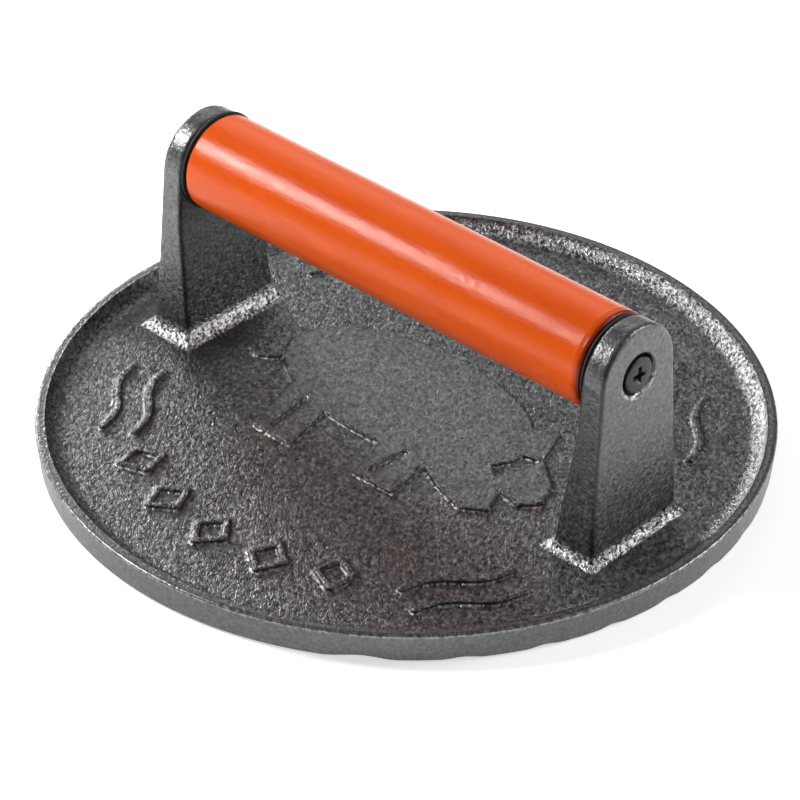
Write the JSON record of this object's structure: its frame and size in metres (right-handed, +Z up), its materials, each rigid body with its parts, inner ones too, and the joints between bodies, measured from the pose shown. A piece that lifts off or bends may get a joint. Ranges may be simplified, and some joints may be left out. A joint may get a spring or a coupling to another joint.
{
  "type": "bacon press",
  "caption": "Round cast-iron bacon press with a rimmed plate, a ribbed underside and a turned wooden grip held between two cast uprights.",
  "frame": {"origin": "centre of the plate's underside, on the level of the ribs that it rests on", "axes": "+Z up, X along the wooden grip, Y across it; -Y is the front"},
  "size_m": [0.22, 0.22, 0.0768],
  "materials": {
    "cast_iron": "fine sand-cast grain, dark grey, satin",
    "stained_wood": "orange-red stain under clear varnish",
    "dark_steel": "blackened",
    "black_fibre": "matt black vulcanised fibre"
  },
  "bodies": {
    "press": {"cast_base": "cast_iron", "tie_rod": "dark_steel", "sleeve_nut_near": "dark_steel", "sleeve_nut_far": "dark_steel", "fibre_washer_near": "black_fibre", "fibre_washer_far": "black_fibre", "spring_washer_near": "dark_steel", "spring_washer_far": "dark_steel"},
    "grip": {"wooden_grip": "stained_wood"}
  },
  "joints": [
    {"name": "grip_turn", "type": "hinge", "parent": "press", "child": "grip", "pos_m": [0, 0, 0.0612], "axis": [1, 0, 0], "continuous": true}
  ]
}
